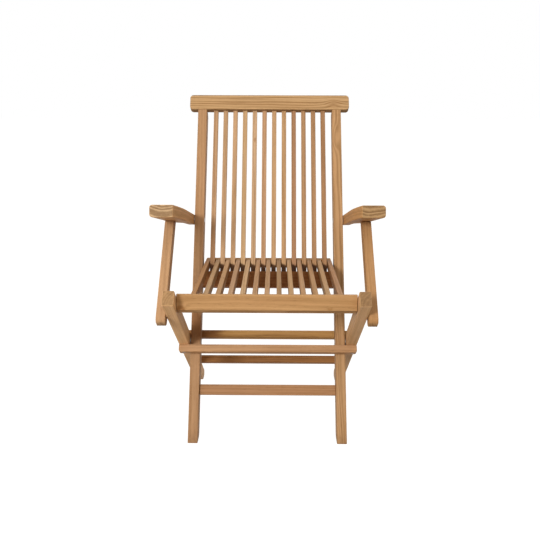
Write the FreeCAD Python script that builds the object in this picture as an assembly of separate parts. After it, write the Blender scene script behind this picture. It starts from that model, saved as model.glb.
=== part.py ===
import FreeCAD, Part
import math
import os

from FreeCAD import Vector

# Folding slatted armchair, open as it stands in use. Millimetres and degrees.
# The front faces -Y and +Z is up. Left is the -X side, as seen from the front.

# Back frame
back_lean = 27.0            # lean of the stiles from upright
back_length = 992.0         # along the stile, from the floor to the top of the top rail
stile_outer = 210.5         # from the middle plane to a stile's outer face
stile_width = 26.5
stile_depth = 38.0
stile_top_round = 14.0      # rear corner of the stile under the top rail
stile_heel_round = 22.0     # rear corner of the stile's foot
top_rail_height = 46.0
top_rail_thickness = 22.0
top_rail_half_length = 235.0
top_rail_corner = 10.0
lower_rail_height = 45.0
lower_rail_thickness = 22.0
front_stretcher_height = 28.0
front_stretcher_thickness = 20.0
front_stretcher_place = 131.5   # its centre, along the stile from the floor

# Back slats and seat slats stand in turn across the width
slat_pitch = 28.7
back_slat_count = 12
back_slat_width = 13.0
back_slat_depth = 13.0
back_slat_recess = 8.0      # behind the front face of the stiles
seat_slat_width = 12.0
seat_slat_height = 22.5
seat_rest_gap = 0.3         # seat slats over the lower back rail

# Rear leg frame
main_pivot_place = 262.0    # along the stile from the floor
rear_leg_rise = 38.0        # rear leg above the floor line
rear_leg_width = 26.5
rear_leg_depth = 37.0
rear_leg_reach = 334.0      # from the main pivot to the upper tip
rear_heel_round = 12.0
leg_gap = 2.5               # stile to rear leg, filled by a washer
stop_bar_size = 20.5
stop_gap = 0.3              # stop bars to the stiles
stop_bar_round = 6.0
rear_stretcher_place = 209.0    # its centre, from the main pivot towards the foot
rear_stretcher_size = 21.0

# Seat
seat_slope = 0.25           # falls towards the rear
seat_pivot_reach = 280.0    # along the rear leg from the main pivot
seat_pivot_back = 12.8      # behind the front rail's face
seat_pivot_height = 14.6    # above the front rail's underside
seat_side_gap = 1.2         # front rail's end to the rear leg
front_rail_height = 48.0
front_rail_depth = 30.0
front_rail_chamfer = 10.0
front_rail_flat = 7.0       # level top edge before the bevel that falls to the rear
front_rail_bevel = 13.0     # fall of that bevel
rear_rail_height = 24.0
rear_rail_depth = 22.0
rear_rail_clearance = 13.3      # back slats to the rear rail, along the seat

# Arms and their supports
arm_pivot_reach = 349.0     # along the stile from the main pivot
arm_slope = 14.0            # falls towards the rear
arm_reach = 323.0           # from the arm pivot to the front end
arm_tail = 18.0             # behind the arm pivot
arm_thickness = 30.0
arm_rear_thickness = 27.5
arm_taper_start = 110.0     # ahead of the arm pivot, where its underside starts to rise
arm_gap = 2.0               # stile to arm, filled by a washer
arm_rear_width = 25.0
arm_front_width = 56.5
arm_inner_flare = 12.5      # the inner edge swings out by this at the front
arm_inner_flare_length = 150.0
arm_waist = 108.0           # from the pivot to where the outer edge starts to widen
arm_shoulder = 152.0        # from the pivot to where it reaches the support
arm_outer_round = 7.0       # rims along the outer side
pivot_spacing = 30.0        # seat pivot to support pivot, along the rear leg
support_width = 22.5
support_depth = 34.0
support_gap = 1.5           # rear leg to support
support_tail = 37.0         # below the support pivot
support_round = 15.0        # foot corners seen from the side
support_corner = 3.5        # foot corners seen from the front
fold_rest = 8.2             # angle left between rear leg and stile when folded

# Joints between the wooden pieces
tenon_length = 12.0
tenon_shoulder = 5.0        # wood left all round a tenon
stile_tenon_length = 30.0
slat_tenon_length = 10.0
slat_tenon_shoulder = 2.5
edge_ease = 2.0             # rounding of handled edges
fine_ease = 1.2             # rounding of slats, legs, supports and the front rail

# Bolts, washers, hinges and screws
bolt_radius = 4.0
bolt_clearance = 0.05       # running fit of a turning bolt
head_radius = 7.0
head_height = 4.5
head_clearance = 0.4
nut_height = 6.0
washer_radius = 10.0
insert_radius = 5.5
insert_length = 16.0
seat_bolt_grip = 28.0       # length held in the seat's front rail
hinge_gap = 1.0             # arm underside to the support's end
hinge_leaf = 1.6
hinge_leaf_length = 30.0
hinge_width = 18.0
knuckle_radius = 2.5
knuckle_clearance = 0.3
screw_radius = 2.0
screw_head_radius = 3.6
screw_length = 12.0
screw_shares = (0.35, 0.8)  # of the leaf's length
bar_screw_radius = 2.5
bar_screw_head_radius = 4.8
bar_screw_length = 42.0

LEFT, RIGHT = -1, 1
UPRIGHT, FORWARD = 90.0, 180.0  # directions in the side view, from +Y towards +Z
SIDES = (("left", LEFT), ("right", RIGHT))


class Line:
    """A line in the side view. Along runs on it, across is a quarter turn anticlockwise."""

    def __init__(self, origin, angle):
        self.origin = origin
        turn = math.radians(angle)
        self.along = (math.cos(turn), math.sin(turn))
        self.across = (-math.sin(turn), math.cos(turn))

    def at(self, along, across=0.0):
        y = self.origin[0] + along * self.along[0] + across * self.across[0]
        z = self.origin[1] + along * self.along[1] + across * self.across[1]
        return (y, z)

    def measure(self, point):
        dy = point[0] - self.origin[0]
        dz = point[1] - self.origin[1]
        along = dy * self.along[0] + dz * self.along[1]
        across = dy * self.across[0] + dz * self.across[1]
        return (along, across)


def prism(points, x_from, x_to):
    """Side-view outline carried along X."""
    corners = [Vector(x_from, y, z) for y, z in points]
    outline = Part.makePolygon(corners + corners[:1])
    solid = Part.Face(outline).extrude(Vector(x_to - x_from, 0, 0))
    if solid.Volume < 0:
        solid.reverse()
    return Part.Solid(solid.Shells[0]) if solid.ShapeType != "Solid" else solid


def bar(line, along, across, x_range):
    """Straight bar with its sides on and square to a side-view line."""
    (a0, a1), (b0, b1) = along, across
    points = [line.at(a0, b0), line.at(a1, b0), line.at(a1, b1), line.at(a0, b1)]
    return prism(points, x_range[0], x_range[1])


def rounded(solid, spot, radius):
    """Round the edge along X that passes the side-view spot."""
    def distance(edge):
        middle = edge.CenterOfMass
        return math.hypot(middle.y - spot[0], middle.z - spot[1])
    crosswise = [e for e in solid.Edges if abs(e.tangentAt(e.FirstParameter).x) > 0.999]
    return solid.makeFillet(radius, [min(crosswise, key=distance)])


def eased(solid, radius):
    """Round every sharp edge a little."""
    return solid.makeFillet(radius, solid.Edges)


def rod(spot, radius, x_from, x_to):
    """Round rod along X at a side-view spot."""
    low, high = min(x_from, x_to), max(x_from, x_to)
    return Part.makeCylinder(radius, high - low, Vector(low, spot[0], spot[1]), Vector(1, 0, 0))


def ring(spot, outer, inner, x_from, x_to):
    return rod(spot, outer, x_from, x_to).cut(rod(spot, inner, x_from, x_to))


def span(side, near, far):
    """X range from the near to the far distance off the middle plane."""
    return tuple(sorted((side * near, side * far)))


def slat_centres(count):
    return [(index - (count - 1) / 2.0) * slat_pitch for index in range(count)]


# Side-view lines of the frames
back = Line((0.0, 0.0), UPRIGHT - back_lean)
main_pivot = back.at(main_pivot_place)
leg = Line(main_pivot, FORWARD - rear_leg_rise)
seat_pivot = leg.at(seat_pivot_reach)
seat_tilt = Line(seat_pivot, -seat_slope)
seat = Line(seat_tilt.at(-seat_pivot_back, front_rail_height - seat_pivot_height), -seat_slope)
arm_pivot = back.at(main_pivot_place + arm_pivot_reach)
arm = Line(arm_pivot, FORWARD - arm_slope)
support_pivot_reach = seat_pivot_reach - pivot_spacing
support_pivot = leg.at(support_pivot_reach)

# Half sizes and faces used by several pieces
half_stile = stile_depth / 2
half_leg = rear_leg_depth / 2
half_arm = arm_thickness / 2
half_support = support_depth / 2
stile_inner = stile_outer - stile_width
leg_inner = stile_outer + leg_gap
leg_outer = leg_inner + rear_leg_width
support_inner = leg_outer + support_gap
support_outer = support_inner + support_width
arm_inner = stile_outer + arm_gap
front_rail_end = leg_inner - seat_side_gap
stile_length = back_length - top_rail_height
slat_front = half_stile - back_slat_recess
slat_back = slat_front - back_slat_depth
slat_middle = (slat_front + slat_back) / 2
seat_slat_count = back_slat_count + 1
head_pocket = head_radius + head_clearance - bolt_radius


def along_seat(face):
    """How far along the seat's top a face of the back frame is met."""
    front_edge = back.measure(seat.at(0.0))[1]
    further = back.measure(seat.at(1.0))[1]
    return (face - front_edge) / (further - front_edge)


seat_length = along_seat(slat_back) + rear_rail_clearance + rear_rail_depth


def hinge_place():
    """Hinge pin of an arm support: its place on the arm and the support's direction.

    The pin is chosen so that the support closes flat under the arm when the chair is
    folded: the way from the main pivot over the arm pivot to the hinge is then as long
    as the way over the support pivot.
    """
    off_arm = half_arm + hinge_gap / 2
    off_support = half_support + knuckle_radius + knuckle_clearance
    flat = arm_pivot_reach - support_pivot_reach * math.cos(math.radians(fold_rest))

    def mismatch(reach):
        pin = arm.at(reach, off_arm)
        apart = math.hypot(pin[0] - support_pivot[0], pin[1] - support_pivot[1])
        return math.sqrt(apart ** 2 - off_support ** 2) - (flat + reach)

    low, high = 0.0, arm_reach
    for _ in range(60):
        middle = (low + high) / 2
        if mismatch(middle) > 0:
            low = middle
        else:
            high = middle
    pin = arm.at(low, off_arm)
    bearing = math.atan2(pin[1] - support_pivot[1], pin[0] - support_pivot[0])
    apart = math.hypot(pin[0] - support_pivot[0], pin[1] - support_pivot[1])
    tilt = math.asin(off_support / apart)
    return pin, low, math.degrees(bearing + tilt)


hinge_pin, hinge_reach, support_angle = hinge_place()
support = Line(support_pivot, support_angle)


def bolt_hole(spot, side, near, far, extra=bolt_clearance):
    return rod(spot, bolt_radius + extra, side * near, side * far)


def stile(side):
    """Long back stile, which is also the front leg, with a tenon for the top rail."""
    slant = half_stile * math.tan(math.radians(back_lean))
    outline = [back.at(-slant, half_stile), back.at(stile_length, half_stile),
               back.at(stile_length, -half_stile), back.at(slant, -half_stile)]
    x_range = span(side, stile_inner, stile_outer)
    body = prism(outline, x_range[0], x_range[1])
    body = rounded(body, back.at(stile_length, -half_stile), stile_top_round)
    body = rounded(body, back.at(slant, -half_stile), stile_heel_round)
    body = eased(body, edge_ease)
    body = body.fuse(stile_tenon(side))
    body = body.cut(rail_tenon(side, lower_rail_line()))
    body = body.cut(rail_tenon(side, front_stretcher_line()))
    body = body.cut(bolt_hole(main_pivot, side, stile_inner, stile_outer))
    body = body.cut(bolt_hole(arm_pivot, side, stile_inner, stile_outer))
    pocket = nut_height + head_clearance
    body = body.cut(bolt_hole(main_pivot, side, stile_inner, stile_inner + pocket, head_pocket))
    return body.cut(bolt_hole(arm_pivot, side, stile_inner, stile_inner + pocket, head_pocket))


def stile_tenon(side):
    rail_back = half_stile - top_rail_thickness
    across = (rail_back + tenon_shoulder, half_stile - tenon_shoulder)
    x_range = span(side, stile_inner + tenon_shoulder, stile_outer - tenon_shoulder)
    return bar(back, (stile_length, stile_length + stile_tenon_length), across, x_range)


def lower_rail_line():
    """Along and across ranges of the lower back rail: the seat slats rest on its front edge."""
    front = slat_middle + lower_rail_thickness / 2
    rear = slat_middle - lower_rail_thickness / 2
    underside = -seat_slat_height - seat_rest_gap
    start, finish = seat.at(0.0, underside), seat.at(seat_length, underside)
    (a0, b0), (a1, b1) = back.measure(start), back.measure(finish)
    edges = [a0 + (a1 - a0) * (face - b0) / (b1 - b0) for face in (front, rear)]
    top = min(edges)
    return (top - lower_rail_height, top), (rear, front)


def front_stretcher_line():
    half_height = front_stretcher_height / 2
    half_thickness = front_stretcher_thickness / 2
    along = (front_stretcher_place - half_height, front_stretcher_place + half_height)
    return along, (-half_thickness, half_thickness)


def rail_tenon(side, section):
    (a0, a1), (b0, b1) = section
    along = (a0 + tenon_shoulder, a1 - tenon_shoulder)
    across = (b0 + tenon_shoulder, b1 - tenon_shoulder)
    return bar(back, along, across, span(side, stile_inner, stile_inner + tenon_length))


def stile_to_stile(section):
    """Rail between the stiles, tenoned into both."""
    body = eased(bar(back, section[0], section[1], (-stile_inner, stile_inner)), edge_ease)
    for side in (LEFT, RIGHT):
        body = body.fuse(rail_tenon(side, section))
    return body


def slat_tenon(centre, start, finish):
    half_width = back_slat_width / 2 - slat_tenon_shoulder
    across = (slat_back + slat_tenon_shoulder, slat_front - slat_tenon_shoulder)
    return bar(back, (start, finish), across, (centre - half_width, centre + half_width))


def top_rail():
    """Top rail with rounded ends, over both stiles and all back slats."""
    across = (half_stile - top_rail_thickness, half_stile)
    ends = (-top_rail_half_length, top_rail_half_length)
    body = bar(back, (stile_length, back_length), across, ends)
    through = [e for e in body.Edges if end_corner(e)]
    body = body.makeFillet(top_rail_corner, through)
    body = eased(body, edge_ease)
    for side in (LEFT, RIGHT):
        body = body.cut(stile_tenon(side))
    for centre in slat_centres(back_slat_count):
        body = body.cut(slat_tenon(centre, stile_length, stile_length + slat_tenon_length))
    return body


def end_corner(edge):
    """True for the short edges that run from the front face to the rear face."""
    direction = edge.tangentAt(edge.FirstParameter)
    return abs(direction.y * back.across[0] + direction.z * back.across[1]) > 0.999


def lower_back_rail():
    section = lower_rail_line()
    body = stile_to_stile(section)
    top = section[0][1]
    for centre in slat_centres(back_slat_count):
        body = body.cut(slat_tenon(centre, top - slat_tenon_length, top))
    return body


def back_slat(centre):
    """Thin upright slat with a stub tenon at each end."""
    foot = lower_rail_line()[0][1]
    half_width = back_slat_width / 2
    x_range = (centre - half_width, centre + half_width)
    body = eased(bar(back, (foot, stile_length), (slat_back, slat_front), x_range), fine_ease)
    body = body.fuse(slat_tenon(centre, foot - slat_tenon_length, foot))
    return body.fuse(slat_tenon(centre, stile_length, stile_length + slat_tenon_length))


def rear_leg(side):
    """Rear leg, from its foot up past the main pivot to the tip beside the seat."""
    foot = -main_pivot[1] / leg.along[1]
    slant = half_leg / math.tan(math.radians(rear_leg_rise))
    outline = [leg.at(foot - slant, -half_leg), leg.at(rear_leg_reach, -half_leg),
               leg.at(rear_leg_reach, half_leg), leg.at(foot + slant, half_leg)]
    x_range = span(side, leg_inner, leg_outer)
    body = prism(outline, x_range[0], x_range[1])
    body = rounded(body, leg.at(foot - slant, -half_leg), rear_heel_round)
    body = eased(body, fine_ease)
    body = body.cut(stretcher_tenon(side))
    for spot in (main_pivot, seat_pivot):
        body = body.cut(bolt_hole(spot, side, leg_inner, leg_outer))
        pocket = head_height + head_clearance
        body = body.cut(bolt_hole(spot, side, leg_outer - pocket, leg_outer, head_pocket))
    insert = insert_radius - bolt_radius
    body = body.cut(bolt_hole(support_pivot, side, leg_outer - insert_length, leg_outer, insert))
    for screw in bar_screws(side):
        body = body.cut(screw)
    return body


def stop_bar_ranges(face):
    """Stop bar section on the rear leg. Face +1 lies under the legs, -1 on top of them."""
    inner = half_leg
    lean = back.across[0] * leg.along[0] + back.across[1] * leg.along[1]
    drop = back.across[0] * leg.across[0] + back.across[1] * leg.across[1]
    near = (half_stile + stop_gap - drop * inner) / lean
    along = (near, near + stop_bar_size) if face > 0 else (-near - stop_bar_size, -near)
    across = (inner, inner + stop_bar_size) if face > 0 else (-inner - stop_bar_size, -inner)
    return along, across


def stop_bar(face):
    """Bar across both rear legs that meets the stiles and holds the chair open."""
    along, across = stop_bar_ranges(face)
    body = bar(leg, along, across, (-leg_outer, leg_outer))
    outer = across[1] if face > 0 else across[0]
    for end in (LEFT, RIGHT):
        upright = [e for e in body.Edges if bar_end_edge(e, end, outer)]
        body = body.makeFillet(stop_bar_round, upright)
    body = eased(body, edge_ease)
    for side in (LEFT, RIGHT):
        body = body.cut(bar_screw(side, face))
    return body


def bar_end_edge(edge, end, outer):
    """True for the bar's end edges that lie on its outer face and run along the leg."""
    middle = edge.CenterOfMass
    along, across = leg.measure((middle.y, middle.z))
    direction = edge.tangentAt(edge.FirstParameter)
    runs = abs(direction.y * leg.along[0] + direction.z * leg.along[1]) > 0.999
    return runs and abs(middle.x - end * leg_outer) < 0.01 and abs(across - outer) < 0.01


def bar_screw(side, face):
    """Countersunk screw through a stop bar into the rear leg."""
    along, across = stop_bar_ranges(face)
    outer = across[1] if face > 0 else across[0]
    y, z = leg.at((along[0] + along[1]) / 2, outer)
    inward = Vector(0, -face * leg.across[0], -face * leg.across[1])
    start = Vector(side * (leg_inner + rear_leg_width / 2), y, z)
    flare = bar_screw_head_radius - bar_screw_radius
    head = Part.makeCone(bar_screw_head_radius, bar_screw_radius, flare, start, inward)
    shank = Part.makeCylinder(bar_screw_radius, bar_screw_length, start, inward)
    return head.fuse(shank).removeSplitter()


def bar_screws(side):
    return [bar_screw(side, face) for face in (1, -1)]


def stretcher_section():
    half_length = rear_stretcher_size / 2
    along = (-rear_stretcher_place - half_length, -rear_stretcher_place + half_length)
    return along, (-half_leg, -half_leg + rear_stretcher_size)


def stretcher_tenon(side):
    (a0, a1), (b0, b1) = stretcher_section()
    along = (a0 + tenon_shoulder, a1 - tenon_shoulder)
    across = (b0 + tenon_shoulder, b1 - tenon_shoulder)
    return bar(leg, along, across, span(side, leg_inner, leg_inner + tenon_length))


def rear_stretcher():
    along, across = stretcher_section()
    body = eased(bar(leg, along, across, (-leg_inner, leg_inner)), edge_ease)
    for side in (LEFT, RIGHT):
        body = body.fuse(stretcher_tenon(side))
    return body


def seat_front_rail():
    """Front rail: chamfered under the front, bevelled behind the top, notched for the slats."""
    chamfer = front_rail_chamfer
    outline = [seat.at(0, 0), seat.at(0, chamfer - front_rail_height),
               seat.at(chamfer, -front_rail_height), seat.at(front_rail_depth, -front_rail_height),
               seat.at(front_rail_depth, -front_rail_bevel), seat.at(front_rail_flat, 0)]
    body = eased(prism(outline, -front_rail_end, front_rail_end), fine_ease)
    for centre in slat_centres(seat_slat_count):
        body = body.cut(seat_slat_blank(centre))
    for side in (LEFT, RIGHT):
        start = front_rail_end - seat_bolt_grip
        body = body.cut(bolt_hole(seat_pivot, side, start, front_rail_end))
    return body


def seat_slat_blank(centre):
    half_width = seat_slat_width / 2
    along = (front_rail_flat, seat_length - rear_rail_depth)
    return bar(seat, along, (-seat_slat_height, 0.0), (centre - half_width, centre + half_width))


def seat_slat(centre):
    """Seat slat, let into the front rail and butted against the rear rail."""
    return eased(seat_slat_blank(centre), fine_ease)


def seat_rear_rail():
    """Rail behind the back slats that ties the rear ends of the seat slats."""
    centres = slat_centres(seat_slat_count)
    half_width = seat_slat_width / 2
    ends = (centres[0] - half_width, centres[-1] + half_width)
    along = (seat_length - rear_rail_depth, seat_length)
    return eased(bar(seat, along, (-rear_rail_height, 0.0), ends), edge_ease)


def arm_plan(side):
    """Arm seen square to its top: slim at the pivot and wide under the hand."""
    rear_outer = arm_inner + arm_rear_width
    front_inner = arm_inner + arm_inner_flare
    front_outer = front_inner + arm_front_width
    shoulder = support_outer + edge_ease
    lower = half_arm + 1.0
    offset = arm.across

    def spot(along, x):
        y, z = arm.at(along, lower)
        return Vector(side * x, y, z)

    def curve(points):
        line = Part.BSplineCurve()
        line.interpolate(points)
        return line.toShape()

    def segment(start, finish):
        return Part.makeLine(start, finish)

    inner_start = arm_reach - arm_inner_flare_length
    inner_curve = []
    for step in range(7):
        part = step / 6.0
        x = arm_inner + arm_inner_flare * part ** 2
        inner_curve.append(spot(inner_start + part * arm_inner_flare_length, x))
    waist_curve = []
    for step in range(7):
        part = step / 6.0
        blend = part * part * (3 - 2 * part)
        x = rear_outer + (shoulder - rear_outer) * blend
        waist_curve.append(spot(arm_waist - arm_tail + part * (arm_shoulder - arm_waist), x))
    rear_in = spot(-arm_tail, arm_inner)
    rear_out = spot(-arm_tail, rear_outer)
    front_out = spot(arm_reach, front_outer)
    edges = [segment(rear_in, inner_curve[0]), curve(inner_curve),
             segment(inner_curve[-1], front_out), segment(front_out, waist_curve[-1]),
             curve(waist_curve), segment(waist_curve[0], rear_out), segment(rear_out, rear_in)]
    face = Part.Face(Part.Wire(Part.__sortEdges__(edges)))
    height = 2 * lower
    return face.extrude(Vector(0, -offset[0] * height, -offset[1] * height))


def arm_piece(side):
    """Armrest, straight on top, with its underside rising towards the pivot on the stile."""
    outline = [arm.at(arm_reach, -half_arm), arm.at(arm_reach, half_arm),
               arm.at(arm_taper_start, half_arm),
               arm.at(-arm_tail, arm_rear_thickness - half_arm), arm.at(-arm_tail, -half_arm)]
    wide = 2 * (arm_inner + arm_front_width)
    profile = prism(outline, -wide, wide)
    body = arm_plan(side).common(profile)
    body = body.makeFillet(arm_outer_round, [e for e in body.Edges if outer_rim(e)])
    body = body.makeFillet(edge_ease, [e for e in body.Edges if inner_rim(e) or front_corner(e)])
    body = body.cut(bolt_hole(arm_pivot, side, arm_inner, arm_inner + arm_rear_width))
    face = arm_inner + arm_rear_width
    pocket = head_height + head_clearance
    body = body.cut(bolt_hole(arm_pivot, side, face - pocket, face + 1.0, head_pocket))
    body = body.cut(hinge_leaf_on_arm(side))
    groove = knuckle_radius + knuckle_clearance
    body = body.cut(rod(hinge_pin, groove, *hinge_span(side, knuckle_clearance)))
    for screw in arm_leaf_screws(side):
        body = body.cut(screw)
    return body


def edge_middle(edge):
    """An arm edge's middle: along the arm, across it and off the middle plane."""
    spot = edge.valueAt((edge.FirstParameter + edge.LastParameter) / 2)
    along, across = arm.measure((spot.y, spot.z))
    return along, across, abs(spot.x)


def follows_arm(edge):
    """True for an edge that runs along the arm, straight or curved."""
    spot = edge.valueAt(edge.LastParameter) - edge.valueAt(edge.FirstParameter)
    along = spot.y * arm.along[0] + spot.z * arm.along[1]
    return abs(along) > 0.9 * spot.Length


def outer_rim(edge):
    """True for a rim along the outer side."""
    middle_width = arm_inner + arm_inner_flare
    return follows_arm(edge) and edge_middle(edge)[2] > middle_width


def front_corner(edge):
    """True for the edges that stand at the two front corners."""
    along, across, beside = edge_middle(edge)
    return abs(along - arm_reach) < 0.01 and abs(across) < half_arm - arm_outer_round


def inner_rim(edge):
    """True for the rims along the inner side and across the two ends."""
    along, across, beside = edge_middle(edge)
    at_end = abs(along - arm_reach) < 0.01 or abs(along + arm_tail) < 0.01
    lying = abs(across) > arm_rear_thickness - half_arm - 0.01
    inner = follows_arm(edge) and beside < arm_inner + arm_inner_flare + 0.01
    return lying and (inner or at_end)


def hinge_span(side, extra=0.0):
    middle = (support_inner + support_outer) / 2
    reach = hinge_width / 2 + extra
    return span(side, middle - reach, middle + reach)


def hinge_leaf_on_arm(side):
    """Flat leaf let into the arm's underside, ahead of the hinge pin."""
    start = hinge_reach + knuckle_radius + knuckle_clearance
    along = (start, start + hinge_leaf_length)
    return bar(arm, along, (half_arm - hinge_leaf, half_arm), hinge_span(side))


def arm_hinge_leaf(side):
    leaf = hinge_leaf_on_arm(side)
    for screw in arm_leaf_screws(side):
        leaf = leaf.cut(screw)
    return leaf


def leaf_screw(start, inward):
    """Small countersunk screw with its head level with the start point."""
    flare = screw_head_radius - screw_radius
    head = Part.makeCone(screw_head_radius, screw_radius, flare, start, inward)
    shank = Part.makeCylinder(screw_radius, screw_length, start, inward)
    return head.fuse(shank).removeSplitter()


def leaf_screw_places():
    start = hinge_reach + knuckle_radius + knuckle_clearance
    return [start + hinge_leaf_length * share for share in screw_shares]


def arm_leaf_screws(side):
    screws = []
    for along in leaf_screw_places():
        y, z = arm.at(along, half_arm)
        start = Vector(side * (support_inner + support_outer) / 2, y, z)
        screws.append(leaf_screw(start, Vector(0, -arm.across[0], -arm.across[1])))
    return screws


def hinge_leaf_on_support(side):
    """Leaf let into the support's end, under the arm's leaf."""
    start = hinge_reach + knuckle_radius + knuckle_clearance
    across = (half_arm + hinge_gap, half_arm + hinge_gap + hinge_leaf)
    return bar(arm, (start, start + hinge_leaf_length), across, hinge_span(side))


def support_leaf_screws(side):
    screws = []
    for along in leaf_screw_places():
        y, z = arm.at(along, half_arm + hinge_gap)
        start = Vector(side * (support_inner + support_outer) / 2, y, z)
        screws.append(leaf_screw(start, Vector(0, arm.across[0], arm.across[1])))
    return screws


def support_hinge_leaf(side):
    """Lower hinge leaf with its knuckle and pin behind the support."""
    leaf = hinge_leaf_on_support(side)
    for screw in support_leaf_screws(side):
        leaf = leaf.cut(screw)
    web = bar(arm, (hinge_reach, hinge_reach + knuckle_radius + knuckle_clearance),
              (half_arm + hinge_gap, half_arm + hinge_gap + hinge_leaf), hinge_span(side))
    knuckle = rod(hinge_pin, knuckle_radius, *hinge_span(side))
    return knuckle.fuse([web, leaf]).removeSplitter()


def support_piece(side):
    """Arm support: its end lies under the arm and its tail passes the rear leg's outside."""
    outline = [support.at(-support_tail, half_support), support.at(-support_tail, -half_support)]
    for face in (-half_support, half_support):
        outline.append(support_end(face))
    x_range = span(side, support_inner, support_outer)
    body = prism(outline, x_range[0], x_range[1])
    for face in (-half_support, half_support):
        body = rounded(body, support.at(-support_tail, face), support_round)
    body = eased(body, fine_ease).common(support_blank(x_range))
    body = body.cut(hinge_leaf_on_support(side))
    for screw in support_leaf_screws(side):
        body = body.cut(screw)
    groove = knuckle_radius + knuckle_clearance
    body = body.cut(rod(hinge_pin, groove, *span(side, support_inner, support_outer)))
    body = body.cut(bolt_hole(support_pivot, side, support_inner, support_outer))
    pocket = head_height + head_clearance
    start = support_outer - pocket
    return body.cut(bolt_hole(support_pivot, side, start, support_outer, head_pocket))


def support_end(face):
    """Where a face of the support meets the cut under the arm."""
    start = arm.measure(support.at(0.0, face))[1]
    climb = arm.measure(support.at(1.0, face))[1] - start
    return support.at((half_arm + hinge_gap - start) / climb, face)


def support_blank(x_range):
    """Block around the support whose two foot corners are round as seen from the front."""
    faces = (-half_support, half_support)
    reach = max(support.measure(support_end(face))[0] for face in faces)
    block = bar(support, (-support_tail, reach), faces, x_range)
    return block.makeFillet(support_corner, [e for e in block.Edges if support_foot_corner(e)])


def support_foot_corner(edge):
    """True for the edges across the end of the support's tail, inside and outside."""
    middle = edge.CenterOfMass
    along, across = support.measure((middle.y, middle.z))
    return abs(along + support_tail) < 0.01 and abs(across) < 0.01


def headed_bolt(spot, side, head_face, tip):
    """Bolt along X with a round head, the head's outside at head_face."""
    head = rod(spot, head_radius, side * (head_face - head_height), side * head_face)
    shank = rod(spot, bolt_radius, side * head_face, side * tip)
    return head.fuse(shank).removeSplitter()


def nut(spot, side, start):
    bore = bolt_radius + bolt_clearance
    return ring(spot, head_radius, bore, side * start, side * (start + nut_height))


def washer(spot, side, start, thickness):
    bore = bolt_radius + bolt_clearance
    return ring(spot, washer_radius, bore, side * start, side * (start + thickness))


def both(make):
    return Part.makeCompound([make(side) for _, side in SIDES])


def build():
    nodes = {}
    for word, side in SIDES:
        nodes["stile_" + word] = stile(side)
        nodes["rear_leg_" + word] = rear_leg(side)
        nodes["arm_" + word] = arm_piece(side)
        nodes["arm_hinge_leaf_" + word] = arm_hinge_leaf(side)
        nodes["arm_hinge_screws_" + word] = Part.makeCompound(arm_leaf_screws(side))
        nodes["support_" + word] = support_piece(side)
        nodes["support_hinge_leaf_" + word] = support_hinge_leaf(side)
        nodes["support_hinge_screws_" + word] = Part.makeCompound(support_leaf_screws(side))
        tip = leg_outer + head_clearance
        nodes["support_bolt_" + word] = headed_bolt(support_pivot, side, support_outer, tip)
    nodes["top_rail"] = top_rail()
    nodes["lower_back_rail"] = lower_back_rail()
    nodes["front_stretcher"] = stile_to_stile(front_stretcher_line())
    for index, centre in enumerate(slat_centres(back_slat_count)):
        nodes["back_slat_%02d" % (index + 1)] = back_slat(centre)
    nodes["stop_bar_front"] = stop_bar(1)
    nodes["stop_bar_rear"] = stop_bar(-1)
    nodes["rear_stretcher"] = rear_stretcher()
    screws = bar_screws(LEFT) + bar_screws(RIGHT)
    nodes["stop_bar_screws"] = Part.makeCompound(screws)
    nodes["seat_front_rail"] = seat_front_rail()
    nodes["seat_rear_rail"] = seat_rear_rail()
    for index, centre in enumerate(slat_centres(seat_slat_count)):
        nodes["seat_slat_%02d" % (index + 1)] = seat_slat(centre)
    nodes["main_pivot_bolts"] = both(
        lambda side: headed_bolt(main_pivot, side, leg_outer, stile_inner))
    nodes["main_pivot_nuts"] = both(lambda side: nut(main_pivot, side, stile_inner))
    nodes["main_pivot_washers"] = both(lambda side: washer(main_pivot, side, stile_outer, leg_gap))
    nodes["seat_pivot_bolts"] = both(
        lambda side: headed_bolt(seat_pivot, side, leg_outer, front_rail_end - seat_bolt_grip))
    nodes["arm_pivot_bolts"] = both(
        lambda side: headed_bolt(arm_pivot, side, arm_inner + arm_rear_width, stile_inner))
    nodes["arm_pivot_nuts"] = both(lambda side: nut(arm_pivot, side, stile_inner))
    nodes["arm_pivot_washers"] = both(lambda side: washer(arm_pivot, side, stile_outer, arm_gap))
    nodes["support_pivot_inserts"] = both(
        lambda side: rod(support_pivot, insert_radius, side * (leg_outer - insert_length),
                         side * leg_outer))
    return nodes


def placed(nodes):
    """Move every piece so that the origin is under the middle of the chair."""
    box = Part.makeCompound(list(nodes.values())).optimalBoundingBox(True, False)
    shift = Vector(-(box.XMin + box.XMax) / 2, -(box.YMin + box.YMax) / 2, -box.ZMin)
    for shape in nodes.values():
        shape.translate(shift)
    return shift


nodes = build()
shift = placed(nodes)
os.makedirs("parts", exist_ok=True)
for name, shape in nodes.items():
    shape.exportStep("parts/" + name + ".step")

for label, spot in (("main pivot", main_pivot), ("seat pivot", seat_pivot), ("arm pivot", arm_pivot),
                    ("hinge pin", hinge_pin), ("support pivot", support_pivot)):
    print(label, round(spot[0] + shift.y, 3), round(spot[1] + shift.z, 3))
print("support angle", round(support_angle, 4), "hinge reach", round(hinge_reach, 3))
print("shift", round(shift.x, 4), round(shift.y, 4), round(shift.z, 4))
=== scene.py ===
import math

import bpy
import numpy as np
from mathutils import Matrix, Vector


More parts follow.
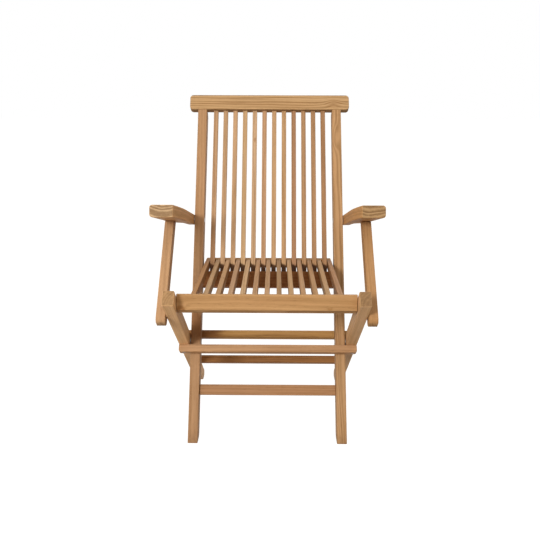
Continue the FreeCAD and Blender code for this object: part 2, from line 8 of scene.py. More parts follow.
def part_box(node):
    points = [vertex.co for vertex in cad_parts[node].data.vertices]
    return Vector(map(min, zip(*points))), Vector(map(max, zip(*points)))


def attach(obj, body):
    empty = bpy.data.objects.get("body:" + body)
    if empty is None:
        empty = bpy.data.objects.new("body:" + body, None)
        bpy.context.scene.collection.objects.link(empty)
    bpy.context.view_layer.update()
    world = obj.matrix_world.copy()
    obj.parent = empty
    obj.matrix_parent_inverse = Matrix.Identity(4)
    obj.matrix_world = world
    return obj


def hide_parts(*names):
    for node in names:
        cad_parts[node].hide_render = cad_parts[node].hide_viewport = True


# Folding teak armchair, open. Metres. The front faces -Y, +Z is up, and right is +X.

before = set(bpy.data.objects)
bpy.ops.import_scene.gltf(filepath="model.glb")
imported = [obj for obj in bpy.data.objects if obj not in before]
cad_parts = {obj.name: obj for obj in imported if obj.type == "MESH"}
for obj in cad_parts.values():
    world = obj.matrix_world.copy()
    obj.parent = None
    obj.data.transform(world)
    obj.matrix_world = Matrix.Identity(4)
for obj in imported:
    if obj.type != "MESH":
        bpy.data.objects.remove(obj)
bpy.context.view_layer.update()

# Places in the side view, as (y, z), and directions in degrees from +Y towards +Z
MAIN_PIVOT = (-0.029648, 0.233444)
SEAT_PIVOT = (-0.250291, 0.405829)
ARM_PIVOT = (0.128795, 0.544405)
SUPPORT_PIVOT = (-0.226650, 0.387359)
BACK_RISE = 63.0
LEG_RISE = 142.0
ARM_RISE = 166.0
SEAT_RISE = -0.25
SUPPORT_RISE = 47.43

SEAT_LEVEL = 0.434

# Distances from the middle plane
STILE_INNER = 0.1840
SEAT_BOLT_TIP = 0.1838
ARM_OUTER = 0.2375
LEG_MIDDLE = 0.22625
LEG_OUTER = 0.2395
SUPPORT_OUTER = 0.2635

# Sections in the side view
STILE_HALF_DEPTH = 0.0190
LEG_HALF_DEPTH = 0.0185
STOP_BAR_SIZE = 0.0205
STOP_GAP = 0.0003

# Radii of bolts and screws, and half of the bolt socket's width across flats
BOLT_HEAD = 0.0070
BOLT_SHANK = 0.0040
BOLT_SOCKET = 0.0026
SCREW_HEAD = 0.0048
SCREW_SHANK = 0.0025

SCREW_LENGTH = 0.0420
SUPPORT_BOLT_GAP = 0.0004
BOTH_SIDES = (-1, 1)

WHITE = (1.0, 1.0, 1.0)

# Colours of the wood as factors on a board's tone, for red, green and blue
LIGHT_GRAIN = (1.22, 1.24, 1.30)
DARK_GRAIN = (0.68, 0.62, 0.52)
END_LIGHT = (1.05, 1.12, 1.22)
END_DARK = (0.50, 0.48, 0.46)
END_CHECK = (0.32, 0.28, 0.25)
SOIL = (0.45, 0.42, 0.40)

# Factors on the light grain or on the dark grain
FLUSHED_LIGHT = (1.00, 0.88, 0.84)
FLUSHED_DARK = (1.06, 0.94, 0.92)
WORN_ARRIS = (1.06, 1.06, 1.06)
# Dark wood of the knots, also the colour of the painted shadows listed with them
KNOT_AND_SHADOW_WOOD = (0.95, 0.78, 0.62)
# Painted shade on faces that look sideways, forwards and down
SHADED_FACE = (0.72, 0.62, 0.48)
# Painted shadow below a set height
PAINTED_SHADOW = (0.26, 0.16, 0.10)
PORE = (0.40, 0.40, 0.40)

# Colours of bleached wood on a board whose green is at the level, and in step with that green
BLEACHED_LIGHT = (0.56, 0.42, 0.29)
BLEACHED_DARK = (0.34, 0.225, 0.14)
BLEACHED_LEVEL = 0.28

# Tones of the boards as linear red, green and blue. Each was matched to how the board looks under
# the lamps, so besides the wood's own colour they hold painted light and shade: the rear legs are
# made lighter against the shade they stand in.
TONES_WITH_PAINTED_LIGHT = {
    "top_rail": (0.418, 0.249, 0.109),
    "lower_back_rail": (0.307, 0.116, 0.031),
    "front_stretcher": (0.371, 0.188, 0.082),
    "stop_bar_front": (0.452, 0.247, 0.114),
    "stop_bar_rear": (0.439, 0.228, 0.063),
    "rear_stretcher": (0.390, 0.168, 0.047),
    "seat_front_rail": (0.451, 0.252, 0.105),
    "seat_rear_rail": (0.531, 0.247, 0.026),
    "stile_left": (0.391, 0.216, 0.101),
    "stile_right": (0.406, 0.229, 0.101),
    "rear_leg_left": (0.790, 0.481, 0.235),
    "rear_leg_right": (0.623, 0.377, 0.184),
    "arm_left": (0.621, 0.360, 0.164),
    "arm_right": (0.498, 0.266, 0.102),
    "support_left": (0.449, 0.258, 0.126),
    "support_right": (0.415, 0.220, 0.087),
}
BACK_SLAT_TONES = (
    (0.426, 0.252, 0.131), (0.425, 0.258, 0.133), (0.436, 0.263, 0.135), (0.449, 0.283, 0.141),
    (0.453, 0.285, 0.156), (0.442, 0.254, 0.133), (0.443, 0.265, 0.130), (0.424, 0.250, 0.117),
    (0.340, 0.179, 0.089), (0.375, 0.212, 0.101), (0.344, 0.188, 0.087), (0.323, 0.170, 0.078))
SEAT_SLAT_TONES = (
    (0.446, 0.219, 0.077), (0.460, 0.279, 0.131), (0.482, 0.275, 0.123), (0.474, 0.278, 0.150),
    (0.573, 0.365, 0.185), (0.477, 0.265, 0.127), (0.473, 0.273, 0.136), (0.379, 0.220, 0.098),
    (0.499, 0.302, 0.143), (0.460, 0.258, 0.124), (0.450, 0.250, 0.111), (0.461, 0.280, 0.131),
    (0.443, 0.240, 0.120))

# Knots and stains, and painted shadows on the rear stop bar, the left stile and the first back
# slat: the place along, beside and through the piece from its middle, the radii along and
# across the grain, how far the rings are pushed aside, and how dark it is
KNOTS_AND_PAINTED_SHADOWS = {
    "top_rail": (((0.188, -0.004, 0.015), (0.028, 0.018), 0.045, 0.25),),
    # Painted contact shadow at the bar's left end, beside the stile
    "stop_bar_rear": (((-0.185, 0.0, 0.0), (0.070, 0.060), 0.0, 0.95),),
    "seat_front_rail": (((-0.203, -0.015, -0.012), (0.014, 0.014), 0.020, 0.75),
                        ((0.148, -0.015, -0.010), (0.006, 0.004), 0.008, 0.35)),
    # Painted shadow under the seat, where the left rear leg shades the stile
    "stile_left": (((-0.182, 0.0, 0.010), (0.050, 0.050), 0.0, 0.90),),
    "stile_right": (((0.372, -0.006, 0.017), (0.036, 0.011), 0.050, 0.10),),
    "rear_leg_right": (((0.312, 0.0, -0.0185), (0.004, 0.003), 0.004, 0.90),),
    "arm_left": (((-0.215, -0.020, 0.004), (0.050, 0.010), 0.030, 0.35),),
    # Painted shadow of the left arm and its support on the slat's lower part
    "back_slat_01": (((-0.170, 0.0, 0.009), (0.090, 0.050), 0.0, 0.45),),
    "back_slat_02": (((0.110, 0.002, 0.009), (0.018, 0.004), 0.008, 0.35),),
    "back_slat_05": (((0.151, 0.0, 0.009), (0.010, 0.005), 0.010, 0.60),),
    "seat_slat_02": (((0.060, -0.003, 0.012), (0.006, 0.003), 0.006, 0.80),),
    "seat_slat_03": (((-0.030, 0.003, 0.012), (0.007, 0.003), 0.006, 0.60),),
}

# Studio lamps, as spot, size and power, all aimed at one spot of the seat
LIT_SPOT = (0.0, -0.05, 0.45)
LAMPS = {
    "key_light": ((-1.67, -3.47, 1.85), 1.0, 118.0),
    "front_fill": ((0.90, -2.40, 2.50), 2.2, 22.0),
    "top_light": ((0.0, -0.80, 2.60), 1.5, 8.0),
    "back_fill": ((1.50, 2.60, 1.60), 2.2, 14.0),
}

# Tint of the soft light from all around
DOME = (0.385, 0.345, 0.290)


class Wire:
    """A number that varies over a surface. Python arithmetic on it adds Math nodes."""

    def __init__(self, shader, socket):
        self.shader = shader
        self.socket = socket

    def math(self, operation, *others):
        return self.shader.node("ShaderNodeMath", {"operation": operation}, (self, *others))

    def __add__(self, other):
        return self.math("ADD", other)

    def __radd__(self, other):
        return self.math("ADD", other)

    def __sub__(self, other):
        return self.math("SUBTRACT", other)

    def __rsub__(self, other):
        return self.math("MULTIPLY_ADD", -1.0, other)

    def __mul__(self, other):
        return self.math("MULTIPLY", other)

    def __rmul__(self, other):
        return self.math("MULTIPLY", other)

    def __truediv__(self, other):
        return self.math("DIVIDE", other)

    def __pow__(self, other):
        return self.math("POWER", other)

    def __abs__(self):
        return self.math("ABSOLUTE")

    def clamped(self):
        """The number held between 0 and 1."""
        return self.math("MAXIMUM", 0.0).math("MINIMUM", 1.0)

    def step(self, low, high):
        """0 below low, 1 above high and smooth in between."""
        settings = {"interpolation_type": "SMOOTHSTEP"}
        return self.shader.node("ShaderNodeMapRange", settings,
                                {"Value": self, "From Min": low, "From Max": high})


class Shader:
    """The node tree of a material or of the world, under construction."""

    def __init__(self, owner):
        owner.use_nodes = True
        self.owner = owner
        self.tree = owner.node_tree
        self.tree.nodes.clear()

    def node(self, kind, settings=None, inputs=None, output=0):
        """Adds a node, sets its settings first and then its sockets, by name or in order."""
        made = self.tree.nodes.new(kind)
        for key, value in (settings or {}).items():
            setattr(made, key, value)
        pairs = inputs.items() if isinstance(inputs, dict) else enumerate(inputs or ())
        for key, value in pairs:
            socket = made.inputs[key]
            if isinstance(value, Wire):
                self.tree.links.new(value.socket, socket)
            elif socket.type == "RGBA":
                socket.default_value = (*value, 1.0)
            else:
                socket.default_value = value
        return Wire(self, made.outputs[output]) if made.outputs else None

    def parts(self, output):
        """Three numbers of the object's own coordinates or of its normal."""
        at = self.node("ShaderNodeTexCoord", output=output)
        return [self.node("ShaderNodeSeparateXYZ", None, (at,), axis) for axis in range(3)]

    def noise(self, x, y, z, detail=2.0, roughness=0.5):
        """Noise from 0 to 1 around 0.5 at three coordinates."""
        at = self.node("ShaderNodeCombineXYZ", None, (x, y, z))
        return self.node("ShaderNodeTexNoise", {"noise_dimensions": "3D"},
                         {"Vector": at, "Scale": 1.0, "Detail": detail, "Roughness": roughness})

    def random(self, number):
        """One random number from 0 to 1 for each whole number."""
        return self.node("ShaderNodeTexWhiteNoise", {"noise_dimensions": "1D"}, {"W": number},
                         "Value")

    def blend(self, share, first, second):
        """Colour that goes from first to second as share goes from 0 to 1."""
        return self.node("ShaderNodeMix", {"data_type": "RGBA"}, {0: share, 6: first, 7: second}, 2)

    def seen_by(self, *rays):
        """1 for the named kinds of ray and 0 for the others."""
        seen, *others = [self.node("ShaderNodeLightPath", output=ray) for ray in rays]
        for other in others:
            seen = seen.math("MAXIMUM", other)
        return seen

    def surface(self, colour, roughness, height, distance, strength, **fixed):
        """Principled surface with a bumped normal. Gives the finished material."""
        bump = self.node("ShaderNodeBump", None, {
            "Strength": strength, "Distance": distance, "Height": height})
        inputs = {"Base Color": colour, "Roughness": roughness, "Normal": bump}
        inputs.update((key.replace("_", " "), value) for key, value in fixed.items())
        shaded = self.node("ShaderNodeBsdfPrincipled", None, inputs)
        self.node("ShaderNodeOutputMaterial", None, {"Surface": shaded})
        return self.owner


def scaled(colour, factors):
    """Colour with its red, green and blue each times a factor."""
    return tuple(part * factor for part, factor in zip(colour, factors))


def grain_parts(parts, run, rise):
    """Splits a place or a direction into along the grain, beside it and through it.

    A crosswise piece has its grain along X and its section turned by rise in the side view.
    A lengthwise piece has its grain in the side view, rising by rise, with X beside it.
    """
    x, y, z = parts
    cos, sin = math.cos(math.radians(rise)), math.sin(math.radians(rise))
    forward = y * cos + z * sin
    upward = z * cos - y * sin
    return (x, forward, upward) if run == "crosswise" else (forward, x, upward)


class Board:
    """Places on one wooden piece, measured along its grain, beside it and through it."""

    def __init__(self, s, node, run, rise):
        self.s = s
        low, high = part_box(node)
        middle = grain_parts([(a + b) / 2 for a, b in zip(low, high)], run, rise)
        self.place = s.parts("Object")
        self.along, self.beside, self.through = (
            part - centre for part, centre in zip(grain_parts(self.place, run, rise), middle))
        self.normal = s.parts("Normal")
        self.facing = [abs(part) for part in grain_parts(self.normal, run, rise)]
        self.seed = sum(ord(letter) * (at + 3) for at, letter in enumerate(node)) % 97 * 1.37
        self.far = self.along + self.seed

    def drawn_out(self, lengthwise, crosswise, detail=2.0, roughness=0.5, beside=0.0, through=0.0):
        """Noise with so many waves in a metre along the grain and across it, shifted sideways."""
        parts = [self.beside * crosswise, self.through * crosswise]
        shifted = [part + shift if shift else part for part, shift in zip(parts, (beside, through))]
        return self.s.noise(self.far * lengthwise, *shifted, detail, roughness)

    def across_end(self, wide, high, detail, roughness=0.5, shift=0.0):
        """Noise on the end grain, with so many waves in a metre each way."""
        beside = self.beside * wide + shift if shift else self.beside * wide
        return self.s.noise(beside, self.through * high, self.seed, detail, roughness)


def growth_rings(board, ring, pith, lean, knots_and_painted_shadows, bend):
    """Late wood of the growth rings, and the stain of the knots, each from 0 to 1.

    A ring is the distance from a pith line beside the piece, counted in ring widths. The line
    leans and sways, and each knot pushes it aside. The stain also holds the painted shadows
    that are listed in the knot table. Each ring has its own random strength.
    """
    sway = board.drawn_out(2.0, 7.0, through=board.seed) - 0.5
    ripple = board.drawn_out(22.0, 130.0) - 0.5
    across = board.beside - pith[0] + sway * 0.030
    above = board.through - pith[1] + board.along * lean + bend * 0.008
    stain = 0.0
    for spot, (long_radius, wide_radius), push, darkness in knots_and_painted_shadows:
        places = (board.along, board.beside, board.through)
        away = sum(((part - centre) / size) ** 2.0 for part, centre, size in
                   zip(places, spot, (long_radius, wide_radius, wide_radius)))
        swell = (away * -1.0).math("EXPONENT")
        above = above + push * swell
        stain = (swell + 0.5 * (ripple + bend)).step(0.35, 0.75) * darkness + stain
    radius = (across * across + above * above) ** 0.5 + ripple * 0.0012
    uneven = board.s.noise(radius * 75.0, board.seed, 0.5, 1.0) - 0.5
    grown = radius / ring + uneven * 2.2
    count = grown.math("FLOOR")
    late = grown - count
    strength = 0.3 + 0.7 * board.s.random(count)
    return late.step(0.0, 0.64) * (1.0 - late.step(0.70, 1.0)) * strength, stain


def end_grain(board, tone, band, rings):
    """Colour of a cut end, with rings, specks, blotches and fine checks, and the checks' share."""
    speck = board.across_end(750.0, 750.0, 3.0, 0.65)
    blotch = board.across_end(110.0, 190.0, 2.0)
    check = board.across_end(60.0, 260.0, 3.0, 0.6, shift=board.seed).step(0.62, 0.7)
    depth = 0.30 + 2.7 * rings * (band - 0.2) + 0.9 * (speck - 0.5) + 1.2 * (blotch - 0.5)
    colour = board.s.blend(depth.clamped(), scaled(tone, END_LIGHT), scaled(tone, END_DARK))
    return board.s.blend(check * 0.5, colour, scaled(tone, END_CHECK)), check


def teak(node, tone, run, rise, ring=0.0060, pith=(0.045, 0.030), lean=0.012, rings=0.35,
         figure=0.9, weather=0.25, shade=(0.0, 0.0, 0.0), end=WHITE, grime=None):
    """Sanded teak for one piece, from its grain to its worn edges.

    run and rise  the grain's direction, as grain_parts takes them
    ring          width of a growth ring
    pith          how far the pith line lies beside the piece's middle and through it
    lean          how fast the pith line leaves the grain's direction
    rings         contrast of the rings
    figure        contrast of streaks and fibres, which are noise drawn out along the grain
    weather       bleaching of the faces that look up
    shade         painted shade: darkening of the faces that look sideways, forwards and down
    end           tone of the end grain, as factors on the board's
    grime         height below which a painted shadow darkens the piece, its edge slanting across it
    """
    s = Shader(bpy.data.materials.new("teak_" + node))
    board = Board(s, node, run, rise)
    knots_and_painted_shadows = KNOTS_AND_PAINTED_SHADOWS.get(node, ())
    bend = board.drawn_out(6.0, 24.0, beside=board.seed) - 0.5
    band, stain = growth_rings(board, ring, pith, lean, knots_and_painted_shadows, bend)
    streak = board.drawn_out(3.2, 100.0, 3.0, 0.65, beside=board.seed)
    fibre = board.drawn_out(11.0, 420.0, 3.0, 0.6)
    fine = board.drawn_out(40.0, 1500.0, 2.0, 0.6)
    patch = board.drawn_out(4.5, 18.0, through=board.seed)
    pore = board.drawn_out(80.0, 2100.0, 0.0).step(0.65, 0.76) * (0.3 + 0.7 * band)
    flush = board.drawn_out(2.6, 40.0, through=2.0 * board.seed).step(0.45, 0.75)
    dull = board.drawn_out(7.0, 55.0, 3.0, 0.6)
    rubbed = board.drawn_out(14.0, 30.0, 3.0).step(0.4, 0.62)

    lines = 1.15 * (streak - 0.5) + 0.65 * (fibre - 0.5) + 0.35 * (fine - 0.5)
    depth = (0.40 + rings * (band - 0.33) + figure * lines + 0.5 * (patch - 0.5)).clamped()
    light, dark = scaled(tone, LIGHT_GRAIN), scaled(tone, DARK_GRAIN)
    colour = s.blend(depth, light, dark)
    colour = s.blend(flush * 0.16, colour,
                     s.blend(depth, scaled(light, FLUSHED_LIGHT), scaled(dark, FLUSHED_DARK)))
    # Knots darken the wood here, and so do the painted shadows listed with them
    if knots_and_painted_shadows:
        colour = s.blend(stain, colour, scaled(dark, KNOT_AND_SHADOW_WOOD))

    bleached = board.normal[2].step(0.25, 0.85) * (0.5 + 0.5 * dull.step(0.35, 0.65)) * weather
    level = [tone[1] / BLEACHED_LEVEL] * 3
    colour = s.blend(bleached, colour, s.blend(depth, scaled(BLEACHED_LIGHT, level),
                                               scaled(BLEACHED_DARK, level)))
    # Painted shade: faces that look sideways, forwards and down are darkened as if shaded
    sideways, forwards, down = abs(board.normal[0]), -1.0 * board.normal[1], -1.0 * board.normal[2]
    for amount, looking in zip(shade, (sideways, forwards, down)):
        if amount:
            colour = s.blend(looking.step(0.3, 0.75) * amount, colour, scaled(dark, SHADED_FACE))
    # Painted shadow below a height, its edge slanting across the piece as the seat's shadow falls
    if grime:
        height = board.place[2] + 0.3 * board.beside + 0.004 * bend
        below = 1.0 - height.step(grime - 0.006, grime)
        colour = s.blend(below * 0.92, colour, scaled(dark, PAINTED_SHADOW))

    arris = board.facing[1].step(0.25, 0.6) * board.facing[2].step(0.25, 0.6)
    worn = arris * rubbed
    colour = s.blend(pore * 0.4, colour, scaled(dark, PORE))
    colour = s.blend(worn * 0.30, colour, scaled(light, WORN_ARRIS))
    cut = board.facing[0].step(0.75, 0.95)
    end_colour, check = end_grain(board, scaled(tone, end), band, rings)
    colour = s.blend(cut * 0.9, colour, end_colour)
    soil = (1.0 - board.place[2].step(0.0, 0.035)) * s.noise(*(p * 70.0 for p in board.place), 3.0)
    colour = s.blend(soil * 0.7, colour, scaled(tone, SOIL))

    roughness = 0.50 + 0.16 * fibre + 0.10 * pore + 0.10 * cut + 0.10 * bleached - 0.08 * worn
    relief = 0.9 * fine + 0.5 * fibre - 0.3 * band - 1.3 * pore - cut * check
    return s.surface(colour, roughness, relief, distance=0.00025, strength=0.55,
                     Specular_IOR_Level=0.16)


def pith_of_slat(place):
    """Pith beside a slat, turned on from slat to slat so that no two show the same grain."""
    turn = 2.4 * place
    return 0.035 * math.cos(turn), 0.035 * math.sin(turn)


def woods():
    """Material of each wooden piece by the name of its node."""
    made = {}

    def crosswise(node, rise, **grain):
        made[node] = teak(node, TONES_WITH_PAINTED_LIGHT[node], "crosswise", rise, **grain)

    def lengthwise(node, rise, **grain):
        made[node] = teak(node, TONES_WITH_PAINTED_LIGHT[node], "lengthwise", rise, **grain)

    def slats(kind, tones, rise, **grain):
        for place, tone in enumerate(tones):
            node = "%s_%02d" % (kind, place + 1)
            made[node] = teak(node, tone, "lengthwise", rise, pith=pith_of_slat(place),
                              lean=0.010, **grain)

    # Painted shade on the top rail's down faces
    crosswise("top_rail", BACK_RISE, ring=0.0105, pith=(0.080, 0.015), lean=0.010, rings=1.15,
              figure=1.45, shade=(0.0, 0.0, 0.4))
    crosswise("lower_back_rail", BACK_RISE, pith=(0.030, 0.040))
    crosswise("front_stretcher", BACK_RISE, pith=(0.040, 0.030))
    crosswise("stop_bar_front", LEG_RISE, ring=0.0080, pith=(0.030, 0.030), figure=1.0)
    crosswise("stop_bar_rear", LEG_RISE, ring=0.0080, pith=(0.030, 0.030), rings=0.9, figure=1.3)
    crosswise("rear_stretcher", LEG_RISE, pith=(0.030, 0.030), rings=0.6, figure=1.3)
    # Painted shade on the front rail's down faces and chamfer
    crosswise("seat_front_rail", SEAT_RISE, ring=0.0130, pith=(0.030, 0.070), lean=0.010,
              figure=0.65, weather=0.15, shade=(0.0, 0.0, 0.55))
    # Painted shade on the front and down faces, and a painted shadow below the seat's level, in the
    # slots between the seat slats
    crosswise("seat_rear_rail", SEAT_RISE, weather=0.4, shade=(0.0, 1.0, 0.6),
              grime=SEAT_LEVEL - 0.004)
    for side, rings, figure in (("left", 0.20, 0.9), ("right", 0.75, 1.15)):
        lengthwise("stile_" + side, BACK_RISE, pith=(0.035, 0.050), lean=0.020, rings=rings,
                   figure=figure, weather=0.15, end=(0.9, 0.9, 0.9))
        lengthwise("rear_leg_" + side, LEG_RISE, ring=0.0070, pith=(0.040, 0.035), lean=0.020,
                   rings=0.15, figure=0.8, weather=0.5, end=(0.42, 0.37, 0.30))
        lengthwise("arm_" + side, ARM_RISE, ring=0.0105, pith=(0.005, -0.090), lean=0.010,
                   rings=0.60, figure=0.8, end=(0.75, 0.82, 0.93))
        lengthwise("support_" + side, SUPPORT_RISE, ring=0.0070, pith=(0.045, 0.020), lean=0.010,
                   rings=0.20, figure=0.8, weather=0.15, end=(0.9, 0.9, 0.9))
    # Painted shadow of the seat on the back slats, below its level
    slats("back_slat", BACK_SLAT_TONES, BACK_RISE, weather=0.1, grime=SEAT_LEVEL)
    # Painted shade on the seat slats' sides and down faces
    slats("seat_slat", SEAT_SLAT_TONES, SEAT_RISE, weather=0.3, shade=(0.5, 0.0, 0.6))
    return made


def metal(name, bright, dull, waves):
    """Dulled metal: fine noise mixes a bright and a dull tone, and roughness follows it."""
    s = Shader(bpy.data.materials.new(name))
    place = s.parts("Object")
    cloud = s.noise(*(part * waves for part in place), 4.0, 0.6)
    speck = s.noise(*(part * waves * 9.0 for part in place))
    stain = cloud.step(0.42, 0.66)
    colour = s.blend(stain, bright, dull)
    roughness = 0.30 + 0.22 * stain + 0.12 * speck
    return s.surface(colour, roughness, speck + cloud, distance=0.00008, strength=0.4,
                     Metallic=1.0)


STEEL = metal("steel_dull", (0.60, 0.59, 0.57), (0.42, 0.40, 0.37), 160.0)
BROWNED = metal("steel_browned", (0.26, 0.20, 0.15), (0.17, 0.13, 0.10), 160.0)
BRASS = metal("brass_dull", (0.64, 0.47, 0.20), (0.42, 0.29, 0.12), 140.0)


def dress(materials):
    """Gives each carried-over node its wood or metal."""
    for node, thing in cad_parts.items():
        metal_piece = BRASS if "hinge" in node or "insert" in node else STEEL
        thing.data.materials.clear()
        thing.data.materials.append(materials.get(node, metal_piece))


def lathe_grid(profile, turns):
    """Depth, radius and angle arrays of a turned surface.

    Each profile point has a depth, a radius and a hexagon share. A full hexagon's radius is its
    half width across flats over the cosine of the angle from the middle of the nearest flat.
    """
    depth, reach, share = np.array(profile).T[:, :, None]
    angle = np.arange(turns)[None, :] * (2.0 * np.pi / turns)
    from_flat = np.mod(angle, np.pi / 3.0) - np.pi / 6.0
    radius = reach * (1.0 + share * (1.0 / np.cos(from_flat) - 1.0))
    return np.broadcast_to(depth, radius.shape), radius, np.broadcast_to(angle, radius.shape)


def closed_skin(rows, turns, start, flip):
    """Quads between the rows of a grid that closes on itself, with a flat cap at each end."""
    row, column = np.meshgrid(np.arange(rows - 1), np.arange(turns), indexing="ij")
    beside = (column + 1) % turns
    quads = np.stack([row * turns + column, row * turns + beside,
                      (row + 1) * turns + beside, (row + 1) * turns + column], axis=-1)
    faces = (quads.reshape(-1, 4) + start).tolist()
    faces.append((np.arange(turns)[::-1] + start).tolist())
    faces.append((np.arange(turns) + (rows - 1) * turns + start).tolist())
    return [face[::-1] for face in faces] if flip else faces


def add_piece(name, points, faces, body, node, material):
    """Adds a smooth piece with sharp edges, which rides on a body in a node's stead."""
    mesh = bpy.data.meshes.new(name)
    mesh.from_pydata(np.concatenate(points).tolist(), [], faces)
    mesh.materials.append(material)
    mesh.shade_smooth()
    mesh.set_sharp_from_angle(angle=math.radians(35.0))
    piece = bpy.data.objects.new(name, mesh)
    bpy.context.scene.collection.objects.link(piece)
    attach(piece, body)
    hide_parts(node)


def socket_bolts(name, node, body, sides, spot, outside, tip):
    """Button-head bolts along X: hexagon socket, domed head and plain shank with a bevelled tip.

    A point lies at its depth inwards from the outside face, at its radius and angle about the
    spot in the side view.
    """
    length = outside - tip
    profile = [(0.0030, BOLT_SOCKET, 1.0), (0.0006, BOLT_SOCKET, 1.0), (0.0003, 0.0032, 0.0),
               (0.0003, 0.0040, 0.0), (0.0006, 0.0050, 0.0), (0.0012, 0.0060, 0.0),
               (0.0021, 0.0067, 0.0), (0.0030, BOLT_HEAD, 0.0), (0.0045, BOLT_HEAD, 0.0),
               (0.0045, BOLT_SHANK, 0.0), (length - 0.0010, BOLT_SHANK, 0.0),
               (length, 0.0031, 0.0)]
    turns = 48
    depth, radius, angle = lathe_grid(profile, turns)
    points, faces = [], []
    for side in sides:
        x = side * (outside - depth)
        y = spot[0] + radius * np.cos(angle)
        z = spot[1] + radius * np.sin(angle)
        faces += closed_skin(len(profile), turns, len(points) * depth.size, side > 0)
        points.append(np.stack([x, y, z], axis=-1).reshape(-1, 3))
    add_piece(name, points, faces, body, node, STEEL)


def stop_bar_spots():
    """Middle of each stop bar's outer face and the inward direction there, in the side view."""
    lean, rise = math.radians(BACK_RISE), math.radians(LEG_RISE)
    back_across = np.array([-math.sin(lean), math.cos(lean)])
    along = np.array([math.cos(rise), math.sin(rise)])
    across = np.array([-along[1], along[0]])
    reach = STILE_HALF_DEPTH + STOP_GAP - back_across @ across * LEG_HALF_DEPTH
    middle_reach = reach / (back_across @ along) + STOP_BAR_SIZE / 2
    for face in (1.0, -1.0):
        middle = np.array(MAIN_PIVOT) + face * middle_reach * along
        yield middle + face * (LEG_HALF_DEPTH + STOP_BAR_SIZE) * across, -face * across


def stop_bar_screw_heads():
    """Countersunk screws with a cross recess, square to the stop bars' outer faces.

    The head is a disc whose depth is the recess: full where either cross arm's half width is
    over the distance from that arm's middle line and the radius is within the arm's reach, and
    it runs out smoothly over a third of a millimetre. Below it are the cone and the shank.
    """
    turns, rings = 48, 22
    arm_half_width, arm_reach, slope = 0.00055, 0.0028, 0.0003
    sunk, recess = 0.00012, 0.0016
    reach = np.linspace(0.0002, SCREW_HEAD, rings)[:, None]
    angle = np.arange(turns)[None, :] * (2.0 * np.pi / turns)
    offset = np.minimum(np.abs(reach * np.sin(angle)), np.abs(reach * np.cos(angle)))
    within = np.clip((arm_half_width - offset) / slope + 0.5, 0.0, 1.0)
    within = within * np.clip((arm_reach - reach) / slope, 0.0, 1.0)
    row = np.ones((1, turns))
    shank_depth = np.array([0.0023, SCREW_LENGTH - 0.0020, SCREW_LENGTH])[:, None]
    shank_reach = np.array([SCREW_SHANK, SCREW_SHANK, 0.0006])[:, None]
    depth = np.concatenate([sunk + recess * within, shank_depth * row])
    radius = np.concatenate([reach, shank_reach]) * row
    points, faces = [], []
    for spot, inward in stop_bar_spots():
        for side in BOTH_SIDES:
            upright = radius * np.sin(angle)
            x = side * LEG_MIDDLE + radius * np.cos(angle)
            y = spot[0] + depth * inward[0] - upright * inward[1]
            z = spot[1] + depth * inward[1] + upright * inward[0]
            faces += closed_skin(depth.shape[0], turns, len(points) * depth.size, False)
            points.append(np.stack([x, y, z], axis=-1).reshape(-1, 3))
    add_piece("stop_bar_screw_heads", points, faces, "rear_legs", "stop_bar_screws", BROWNED)


def pale_floor():
    """White floor that keeps the chair's shadow, and is plain and darker for other rays."""
    s = Shader(bpy.data.materials.new("pale_floor"))
    mottle = s.noise(*(part * 9.0 for part in s.parts("Object")), 3.0)
    seen = s.seen_by("Is Camera Ray", "Is Glossy Ray")
    shade = s.blend(mottle, (0.33, 0.31, 0.28), (0.35, 0.33, 0.30))
    matt = s.node("ShaderNodeBsdfDiffuse", None, {
        "Color": s.blend(seen, shade, (0.80, 0.80, 0.80))})
    glow = s.node("ShaderNodeEmission", None, {"Color": WHITE, "Strength": 1.31})
    mixed = s.node("ShaderNodeMixShader", None, (0.72 * seen, matt, glow))
    s.node("ShaderNodeOutputMaterial", None, {"Surface": mixed})
    mesh = bpy.data.meshes.new("floor")
    reach = 30.0
    mesh.from_pydata([(-reach, -reach, 0), (reach, -reach, 0), (reach, reach, 0),
                      (-reach, reach, 0)], [], [(0, 1, 2, 3)])
    mesh.materials.append(s.owner)
    floor = bpy.data.objects.new("floor", mesh)
    bpy.context.scene.collection.objects.link(floor)


def white_room():
    """World that is white where it is seen and a soft plain light elsewhere."""
    world = bpy.data.worlds.new("white_room")
    bpy.context.scene.world = world
    s = Shader(world)
    seen = s.seen_by("Is Camera Ray", "Is Glossy Ray", "Is Transmission Ray")
    sky = s.node("ShaderNodeBackground", None, {
        "Color": s.blend(seen, DOME, WHITE), "Strength": 1.0})
    s.node("ShaderNodeOutputWorld", None, {"Surface": sky})


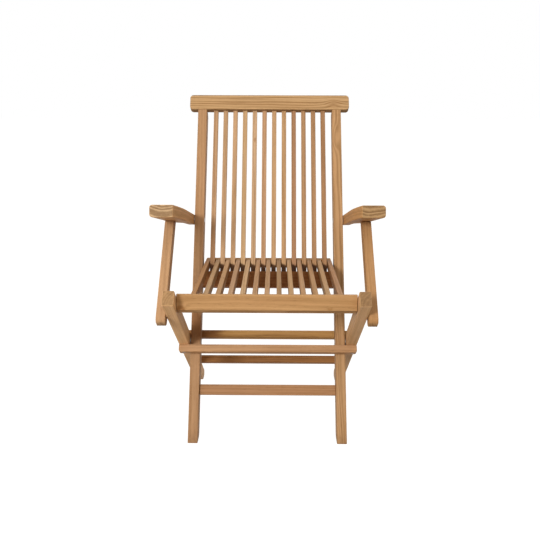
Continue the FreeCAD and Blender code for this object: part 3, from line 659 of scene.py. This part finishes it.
def lamps():
    """Key light from the left front, low enough to reach under the arms, with soft fills."""
    for name, (spot, size, power) in LAMPS.items():
        light = bpy.data.lights.new(name, "AREA")
        light.shape = "SQUARE"
        light.size = size
        light.energy = power
        lamp = bpy.data.objects.new(name, light)
        lamp.location = spot
        ahead = Vector(LIT_SPOT) - Vector(spot)
        lamp.rotation_euler = ahead.to_track_quat("-Z", "Y").to_euler()
        bpy.context.scene.collection.objects.link(lamp)


def aim_camera():
    """Camera of the photograph: eye, pitch down, turn and roll in degrees, and focal length."""
    eye = Vector((0.01953, -1.71222, 0.87820))
    pitch, turn, roll = (math.radians(a) for a in (14.6555, -0.4883, 0.1291))
    focal_pixels, picture_pixels = 650.0, 540.0
    ahead = Vector((math.sin(turn) * math.cos(pitch), math.cos(turn) * math.cos(pitch),
                    -math.sin(pitch)))
    right = Vector((math.cos(turn), -math.sin(turn), 0.0))
    down = ahead.cross(right)
    turned_right = math.cos(roll) * right - math.sin(roll) * down
    turned_down = math.sin(roll) * right + math.cos(roll) * down
    data = bpy.data.cameras.new("camera")
    data.sensor_width = 36.0
    data.lens = data.sensor_width * focal_pixels / picture_pixels
    data.clip_end = 200.0
    camera = bpy.data.objects.new("camera", data)
    rows = Matrix((turned_right, -turned_down, -ahead)).transposed()
    camera.matrix_world = Matrix.Translation(eye) @ rows.to_4x4()
    bpy.context.scene.collection.objects.link(camera)
    bpy.context.scene.camera = camera


dress(woods())
socket_bolts("main_bolts", "main_pivot_bolts", "rear_legs", BOTH_SIDES, MAIN_PIVOT, LEG_OUTER,
             STILE_INNER)
socket_bolts("seat_bolts", "seat_pivot_bolts", "seat", BOTH_SIDES, SEAT_PIVOT, LEG_OUTER,
             SEAT_BOLT_TIP)
socket_bolts("arm_bolts", "arm_pivot_bolts", "back_frame", BOTH_SIDES, ARM_PIVOT, ARM_OUTER,
             STILE_INNER)
for word, side in (("left", -1), ("right", 1)):
    socket_bolts("support_bolt_head_" + word, "support_bolt_" + word, "arm_support_" + word,
                 (side,), SUPPORT_PIVOT, SUPPORT_OUTER, LEG_OUTER + SUPPORT_BOLT_GAP)
stop_bar_screw_heads()
pale_floor()
white_room()
lamps()
aim_camera()
bpy.context.scene.view_settings.view_transform = "Standard"
